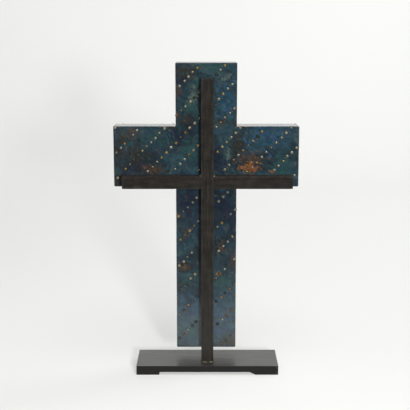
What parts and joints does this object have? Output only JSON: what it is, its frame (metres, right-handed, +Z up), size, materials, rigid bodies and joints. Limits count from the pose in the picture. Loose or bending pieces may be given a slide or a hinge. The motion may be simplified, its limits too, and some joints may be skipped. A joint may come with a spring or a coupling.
{
  "type": "iron grave cross on a display stand",
  "caption": "Box-section Latin cross of blue-patinated iron with slanting rows of domed studs, held upright by a square-bar post, crossbars and a low base.",
  "frame": {"origin": "on the table, under the middle of the cross and of the base's depth", "axes": "+Z up, +X along the arms to the right as seen from the post's side, -Y towards the side that shows the post"},
  "size_m": [0.297, 0.076, 0.5038],
  "materials": {
    "patinated_iron": "mottled blue and rust patina under clear lacquer",
    "stud_heads": "worn domed heads, grey-green to brassy",
    "blackened_bar": "blackened mill bar, waxed",
    "black_base": "satin black paint"
  },
  "bodies": {
    "root": {"cross": "patinated_iron", "post": "blackened_bar", "crossbar_left": "blackened_bar", "crossbar_right": "blackened_bar", "base": "black_base"}
  },
  "joints": []
}
